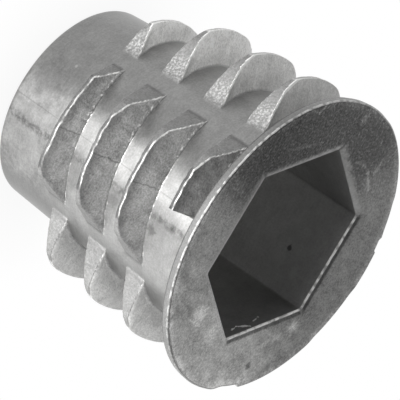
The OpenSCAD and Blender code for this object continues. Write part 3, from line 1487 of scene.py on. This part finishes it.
    def socket_wall(self, surface: Surface) -> Skin:
        """Skin of the socket and the bore, lighter towards the bottom, with painted light and shade
        on some walls.

        Args:
            surface: The patterns of the surface.

        Returns:
            The skin.
        """
        tone = self.socket.tone * surface.varied(mottle=0.5, grain=0.5, streak=0.2)
        tone = tone * (1.2 - ease(surface.marks[Mark.LIP], -6.0, -0.5) * 0.62)
        # Painted light and shade: some walls of the socket lighter, one darker.
        for side, change in self.wall_painted_light:
            tone = tone * (1.0 + along_sides(surface.turn, (side,)) * change)
        return replace(self.socket, tone=tone)

    def shade(self, surface: Surface) -> Field:
        """The factor of the painted shade: thin dark lines along the edges.

        Args:
            surface: The patterns of the surface.

        Returns:
            The factor, 1 away from the lines.
        """
        marks = surface.marks
        rim, end = marks[Mark.RIM], marks[Mark.END]
        below_rim = between(rim, *self.shade_below_rim)
        in_rim = ease(rim, -0.01, 0.01) * ease(rim + surface.ragged * 0.12, 0.1, 0.05)
        in_rim = in_rim * surface.beads(3.0, (0.35, 0.6), 0.6, 1.1) * ease(surface.facing, 0.2, 0.6)
        by_burr = along_sides(surface.turn, self.burr_deg)
        by_burr = by_burr * between(marks[Mark.LIP], *self.shade_by_burr)
        crest = ease(marks[Mark.CORNER], 0.25, 0.4) * surface.standing * surface.on_flank * 0.7
        foot = between(marks[Mark.RELIEF], *self.shade_at_foot) * ease(end, -0.02, -0.06)
        foot = foot * surface.front * surface.standing * 0.6
        return 1.0 - strongest(below_rim, in_rim, by_burr, crest, foot) * self.painted_shade_depth

    def wear_and_glint(self, surface: Surface) -> Field:
        """Where the metal is painted bright, as wear and as highlights, in broken lines and small
        beads.

        Args:
            surface: The patterns of the surface.

        Returns:
            The share of bright metal.
        """
        rim = between(surface.marks[Mark.RIM] + surface.ragged * 0.08, *self.rim_wear_and_glint_band)
        rim = rim * surface.beads(3.0, (0.36, 0.6), 0.06, 0.36)
        # Painted highlight: the rim's bright line is strongest between the front and the left.
        rim = rim * (ease(cosine(surface.turn + 35.0 * DEGREE), -0.2, 0.7) * 0.9 + 0.35)
        # Painted highlight and wear: the bright line on the burr.
        burr = along_sides(surface.turn, self.burr_deg) * surface.beads(2.5, (0.36, 0.54), 0.2, 0.9)
        burr = burr * between(surface.marks[Mark.LIP], *self.burr_wear_and_glint_band)
        ridge = strongest(
            self.crest_wear_and_glint(surface),
            self.crease_wear_and_glint(surface),
            self.foot_wear_and_glint(surface),
            self.tip_wear_and_glint(surface),
        )
        return lowest(strongest(ridge * surface.standing, rim, burr), 1.0)

    def crest_wear_and_glint(self, surface: Surface) -> Field:
        """The bright line along a crest, painted highlight and wear, which fades out at the late
        end.

        Args:
            surface: The patterns of the surface.

        Returns:
            The share of bright metal.
        """
        corner = surface.marks[Mark.CORNER] + surface.ragged * 0.12
        fading = highest(ease(surface.marks[Mark.END], 0.0, 0.25), 1.0 - surface.late)
        line = between(corner, *self.crest_wear_and_glint_band) * surface.on_flank * fading
        line = line * surface.beads(2.6, (0.36, 0.58), 0.12, 0.82)
        line = line * blend(ease(surface.bearing, 0.015, 0.05), 1.0, surface.front)
        return line * (ease(surface.height, 3.5, 7.5) * 0.5 + 0.5)

    def crease_wear_and_glint(self, surface: Surface) -> Field:
        """The bright line between a flank and one of the ridge's ends, painted highlight and wear.

        Args:
            surface: The patterns of the surface.

        Returns:
            The share of bright metal.
        """
        corner = surface.marks[Mark.CORNER] + surface.ragged * 0.12
        # Painted highlight: in front the early crease gleams, at the sides the late one.
        gleaming = blend(surface.late, 1.0 - surface.late, surface.front)
        bent = (surface.marks[Mark.END] + surface.ragged * 0.1) * (surface.front * 0.4 + 0.6)
        line = between(bent, *self.crease_wear_and_glint_band) * ease(corner, 0.2, 0.0) * gleaming
        return line * surface.beads(4.0, (0.3, 0.55), 0.2, 0.75) * (2.3 - surface.front * 1.3)

    def foot_wear_and_glint(self, surface: Surface) -> Field:
        """Bright beads at the foot of a flank, near its early end in front: painted glints and wear.

        Args:
            surface: The patterns of the surface.

        Returns:
            The share of bright metal.
        """
        early = ease(surface.bearing, 0.04, -0.03) * surface.front * surface.on_flank
        foot = between(surface.marks[Mark.RELIEF], *self.foot_wear_and_glint_band) * early
        return foot * surface.beads(4.5, (0.56, 0.68), 0.0, 0.8)

    @staticmethod
    def tip_wear_and_glint(surface: Surface) -> Field:
        """Bright beads on the tips of the late ends at the sides: painted glints and wear.

        Args:
            surface: The patterns of the surface.

        Returns:
            The share of bright metal.
        """
        tips = ease(surface.marks[Mark.END], 0.0, -0.15) * ease(surface.marks[Mark.RELIEF], 1.3, 0.1)
        tips = tips * surface.late * (1.0 - surface.front)
        return tips * surface.beads(8.0, (0.42, 0.66), 0.05, 0.55)

    def spots_and_sheen_factor(self, surface: Surface) -> Field:
        """The factor of the single spots and scratches, with the painted sheen and glints among
        them.

        Args:
            surface: The patterns of the surface.

        Returns:
            The factor, 1 away from them.
        """
        factor: Number = 1.0
        for spot in self.spots_and_sheens + self.scratches_and_glints:
            factor = (spot.share(surface) * (spot.tone - 1.0) + 1.0) * factor
        return factor

    def smudge(self, surface: Surface) -> Field:
        """The factor of a dark speckled line that the mould left in front.

        Args:
            surface: The patterns of the surface.

        Returns:
            The factor, 1 away from it.
        """
        specks = ease(surface.writer.noise(surface.spot, 3.5, 4.0, 0.7), 0.34, 0.66)
        away = magnitude(surface.turn - self.smudge_deg * DEGREE)
        return 1.0 - ease(away, 3.5 * DEGREE, 0.3 * DEGREE) * specks * 0.5

    @staticmethod
    def witness(surface: Surface) -> Field:
        """The factor of the thin dark line along the joint of the mould.

        Args:
            surface: The patterns of the surface.

        Returns:
            The factor, 1 away from it.
        """
        drift = surface.writer.noise(surface.spot, 1.3, 2.0) - 0.5
        middle = drift * surface.standing * (3.0 * DEGREE) + 0.2 * DEGREE
        line = ease(magnitude(surface.turn - middle), 0.5 * DEGREE, 0.1 * DEGREE)
        return 1.0 - line * surface.outside * (surface.standing * 0.2 + 0.2)

    def face(self, surface: Surface) -> Skin:
        """Skin of the flange face, with painted shade on one side, painted light on others and along
        some sides of the socket's bevel.

        Args:
            surface: The patterns of the surface.

        Returns:
            The skin.
        """
        writer = surface.writer
        aside, ahead = self.cloud_axis
        across = surface.x * aside - surface.y * ahead
        along = (surface.x * ahead + surface.y * aside) * self.cloud_stretch
        clouds = writer.noise(writer.vector(across, along, 0.0), 1.1, 5.0, 0.7, 0.5)

        def towards(degrees: float, stirring: float, low: float, high: float) -> Field:
            """How much the point lies towards a side, less so where clouds stir it."""
            facing = cosine(surface.turn - degrees * DEGREE)
            return ease(facing + (clouds - 0.5) * stirring if stirring else facing, low, high)

        # Painted shade on one side of the face, painted light towards two others.
        dark = towards(self.face_painted_shade[0], 0.9, 0.25, 0.75)
        bright = towards(self.face_painted_light[0], 0.9, 0.45, 0.95)
        pale = towards(self.face_painted_light_front[0], 0.0, 0.86, 0.98)
        specks = surface.beads(6.5, (0.5, 0.72))
        uneven = (clouds - 0.5) * 1.15 + (surface.grain - 0.5) * (dark * 0.9 + 1.8)
        tone = self.face_ground.tone * (1.0 - dark * self.face_painted_shade[1])
        tone = tone * (1.0 + bright * self.face_painted_light[1]) * (1.0 + pale * self.face_painted_light_front[1])
        tone = tone * (1.0 + uneven + specks * (dark * 0.8 + 0.16))
        patches = ease(clouds, 0.3, 0.65) * 0.8 + 0.2
        tone = tone * (1.0 + ease(surface.marks[Mark.RIM], 0.5, 0.1) * patches * 0.6)
        # Painted light along the sides of the bevel that face the light.
        painted_bevel_light: Number = 0.0
        for side, width in self.painted_light_bevel_sides:
            band = ease(surface.marks[Mark.LIP] + surface.ragged * width, width, width * 0.2)
            painted_bevel_light = along_sides(surface.turn, (side,)) * band + painted_bevel_light
        painted_bevel_light = painted_bevel_light * (patches * 0.5 + 0.5) * (0.85 + specks * 0.15)
        return replace(self.face_ground, tone=blend(tone, self.face_ground.tone * 1.4, painted_bevel_light))


# --------------------------------------------------------------------------
# The body and the studio
# --------------------------------------------------------------------------


@dataclass
class InsertBody:
    """The whole casting, one closed skin."""

    overall: float
    bore_radius: float
    finish: ZincFinish = field(default_factory=ZincFinish)
    most_triangles: int = 190_000
    sharp_deg: float = 32.0
    nose_rows: int = 4

    def build(self) -> bpy.types.Object:
        """Builds the body and thins it to its budget of triangles.

        Returns:
            The finished object.
        """
        core = Core(self.overall)
        flange = Flange(core)
        thread = RidgeThread(core, core.nose_round, flange.underside - core.root_fillet)
        socket = HexSocket(core)
        screw = ScrewThread(socket.floor, self.bore_radius)
        tree = BodyTree("insert_body_form")
        core.add_nose_edge(tree, lambda turn, height: thread.wall(tree, turn, height))
        thread.add(tree)
        flange.add_seat(tree)
        flange.add_rim(tree)
        flange.add_face(tree, lambda turn: socket.mouth(tree, turn), socket.bevel_width)
        socket.add(tree, lambda turn: screw.radius(tree, turn, screw.top))
        screw.add(tree)
        self.add_nose_face(tree, core, thread, screw)
        tree.finish(self.finish.material())
        dense = tree.build("cast_body_dense")
        LOG.info("dense skin: %d faces", len(dense.data.polygons))
        body = self.thin(dense)
        LOG.info("cast body: %d faces", len(body.data.polygons))
        return body

    def add_nose_face(
        self,
        tree: BodyTree,
        core: Core,
        thread: RidgeThread,
        screw: ScrewThread,
    ) -> None:
        """Adds the ring that the insert stands on.

        Args:
            tree: The body's tree.
            core: The core, whose rounded edge it meets.
            thread: The outer wall.
            screw: The bore.
        """
        def shape(turn: Field, share: Field) -> Ring:
            """A ring of the nose face."""
            inner = screw.radius(tree, turn, 0.0)
            wall, _ = thread.wall(tree, turn, core.nose_round)
            outer = wall - core.nose_round
            return blend(inner, outer, share), share * 0.0

        tree.zone(self.nose_rows, shape)

    def thin(self, dense: bpy.types.Object) -> bpy.types.Object:
        """Collapses flat stretches of the skin and keeps them flat in the light.

        Args:
            dense: The full skin, which is removed.

        Returns:
            The thinned copy.
        """
        triangles = sum(len(face.vertices) - 2 for face in dense.data.polygons)
        modifier = dense.modifiers.new("thin", "DECIMATE")
        modifier.ratio = min(1.0, self.most_triangles / triangles)
        thinned = plain_copy(dense, "cast_body_thinned")
        bpy.data.objects.remove(dense)
        thinned.data.set_sharp_from_angle(angle=math.radians(self.sharp_deg))
        normals = thinned.modifiers.new("flat_stretches", "WEIGHTED_NORMAL")
        normals.keep_sharp = True
        body = plain_copy(thinned, "cast_body")
        bpy.data.objects.remove(thinned)
        return body


@dataclass(frozen=True)
class SoftLight:
    """One rectangular studio lamp."""

    name: str
    place: tuple[float, float, float]
    target: tuple[float, float, float]
    size: tuple[float, float]
    watts: float


@dataclass
class Studio:
    """Floor, lamps, world and camera."""

    aim: tuple[float, float, float] = (0.51, -0.10, 9.89)
    distance: float = 345.7
    azimuth_deg: float = -11.49
    elevation_deg: float = 31.09
    roll_deg: float = 124.19
    focal_length: float = 592.3
    floor_reach: float = 4.0
    floor_gap: float = 0.02
    ambient: float = 0.9
    ceiling: float = 0.3
    ceiling_rise: Span = (0.1, 0.9)
    shadow_reach: float = 6.0
    shadow_tone: float = 0.9
    bore_edge: Span = (3.4, 4.4)
    bore_painted_shade: float = 0.15
    shadow_samples: int = 16
    floor_tone: float = 0.8
    sensor_width: float = 36.0
    clip_start: float = 0.01
    lamps: tuple[SoftLight, ...] = (
        SoftLight("front_panel", (14.0, -159.4, 6.5), (0.0, 0.0, 6.5), (100.0, 12.0), 0.43),
        SoftLight("right_panel", (67.8, -42.4, 7.0), (0.0, 0.0, 7.0), (92.0, 13.0), 0.062),
    )

    def build(self) -> None:
        """Builds the studio and reports it."""
        self.add_floor()
        for lamp in self.lamps:
            self.add_lamp(lamp)
        self.set_world()
        self.add_camera()
        scene = bpy.context.scene
        scene.view_settings.view_transform = "Standard"
        LOG.info("studio: floor, %d lamps, world and camera", len(self.lamps))

    @staticmethod
    def background_rays(writer: NodeWriter) -> Field:
        """Tells the rays that show the background.

        Args:
            writer: The tree of the floor or the world.

        Returns:
            1 for them, and 0 for the others.
        """
        path = writer.add("ShaderNodeLightPath")
        names = ("Is Camera Ray", "Is Glossy Ray", "Is Transmission Ray")
        seen = [Field(writer, path.outputs[name]) for name in names]
        return lowest(seen[0] + seen[1] + seen[2], 1.0)

    def add_floor(self) -> None:
        """Adds a white floor whose contact shadow is painted into its glow from ambient occlusion.

        It is painted dim under the bore, so that the hole stays dark from above.
        """
        reach = self.floor_reach
        mesh = bpy.data.meshes.new("floor")
        low = -self.floor_gap * MM
        turns = ((-1, -1), (1, -1), (1, 1), (-1, 1))
        mesh.from_pydata([(x * reach, y * reach, low) for x, y in turns], [], [(0, 1, 2, 3)])
        floor = bpy.data.objects.new("floor", mesh)
        bpy.context.scene.collection.objects.link(floor)
        material = bpy.data.materials.new("floor_white")
        material.use_nodes = True
        writer = NodeWriter(material.node_tree)
        material.node_tree.nodes.clear()
        near = writer.add("ShaderNodeAmbientOcclusion", samples=self.shadow_samples)
        near.inputs["Distance"].default_value = self.shadow_reach * MM
        # Painted shadow: the glow dims where ambient occlusion finds the body close.
        light = blend(self.shadow_tone, 1.0, Field(writer, near.outputs["AO"]))
        across, along, _ = writer.parts(writer.add("ShaderNodeTexCoord").outputs["Object"])
        away = writer.math("SQRT", across * across + along * along)
        clear = ease(away, self.bore_edge[0] * MM, self.bore_edge[1] * MM)
        # Painted shade under the bore.
        light = light * (clear * (1.0 - self.bore_painted_shade) + self.bore_painted_shade)
        glow = writer.add("ShaderNodeEmission")
        writer.feed(glow.inputs["Strength"], light)
        matt = writer.add("ShaderNodeBsdfDiffuse")
        matt.inputs["Color"].default_value = (self.floor_tone,) * 3 + (1.0,)
        mix = writer.add("ShaderNodeMixShader")
        writer.feed(mix.inputs[0], self.background_rays(writer))
        writer.feed(mix.inputs[1], matt.outputs[0])
        writer.feed(mix.inputs[2], glow.outputs[0])
        output = writer.add("ShaderNodeOutputMaterial")
        writer.feed(output.inputs["Surface"], mix.outputs[0])
        mesh.materials.append(material)

    @staticmethod
    def add_lamp(lamp: SoftLight) -> None:
        """Adds one lamp, aimed at its target and unseen by the camera.

        Args:
            lamp: Its place, size and power.
        """
        light = bpy.data.lights.new(lamp.name, "AREA")
        light.shape = "RECTANGLE"
        light.size, light.size_y = (side * MM for side in lamp.size)
        light.energy = lamp.watts
        holder = bpy.data.objects.new(lamp.name, light)
        place, target = Vector(lamp.place), Vector(lamp.target)
        holder.location = place * MM
        holder.rotation_euler = (target - place).to_track_quat("-Z", "Y").to_euler()
        holder.visible_camera = False
        bpy.context.scene.collection.objects.link(holder)

    def set_world(self) -> None:
        """Sets a white world that lights plainly, dimmer overhead in metal."""
        world = bpy.data.worlds.new("studio")
        world.use_nodes = True
        world.node_tree.nodes.clear()
        writer = NodeWriter(world.node_tree)
        background = writer.add("ShaderNodeBackground")
        _, _, rise = writer.parts(writer.add("ShaderNodeTexCoord").outputs["Generated"])
        path = writer.add("ShaderNodeLightPath")
        in_metal = Field(writer, path.outputs["Is Glossy Ray"])
        sky = 1.0 - in_metal * ease(rise, *self.ceiling_rise) * (1.0 - self.ceiling)
        strength = blend(self.ambient, sky, self.background_rays(writer))
        writer.feed(background.inputs["Strength"], strength)
        output = writer.add("ShaderNodeOutputWorld")
        writer.feed(output.inputs["Surface"], background.outputs[0])
        bpy.context.scene.world = world

    def add_camera(self) -> None:
        """Adds the camera, a long lens that is turned well on its side."""
        lens = bpy.data.cameras.new("camera")
        lens.sensor_width = self.sensor_width
        lens.lens = self.focal_length
        lens.clip_start = self.clip_start
        camera = bpy.data.objects.new("camera", lens)
        turns = (
            Matrix.Rotation(math.radians(self.azimuth_deg), 4, "Z"),
            Matrix.Rotation(math.radians(90 - self.elevation_deg), 4, "X"),
            Matrix.Rotation(math.radians(self.roll_deg), 4, "Z"),
        )
        swing = turns[0] @ turns[1] @ turns[2]
        arm = Matrix.Translation((0, 0, self.distance * MM))
        camera.matrix_world = Matrix.Translation(Vector(self.aim) * MM) @ swing @ arm
        bpy.context.scene.collection.objects.link(camera)
        bpy.context.scene.camera = camera


def main() -> None:
    """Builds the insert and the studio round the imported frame."""
    logging.basicConfig(level=logging.INFO, format="%(message)s")
    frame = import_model()
    low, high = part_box(BODY_NODE)
    bore = next(m for m in frame["record"]["mounts"] if m["name"] == "machine_thread")
    body = InsertBody((high.z - low.z) / MM, bore["dims"]["r_mm"]).build()
    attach(body, "root")
    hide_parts(BODY_NODE)
    Studio().build()


if __name__ == "__main__":
    main()
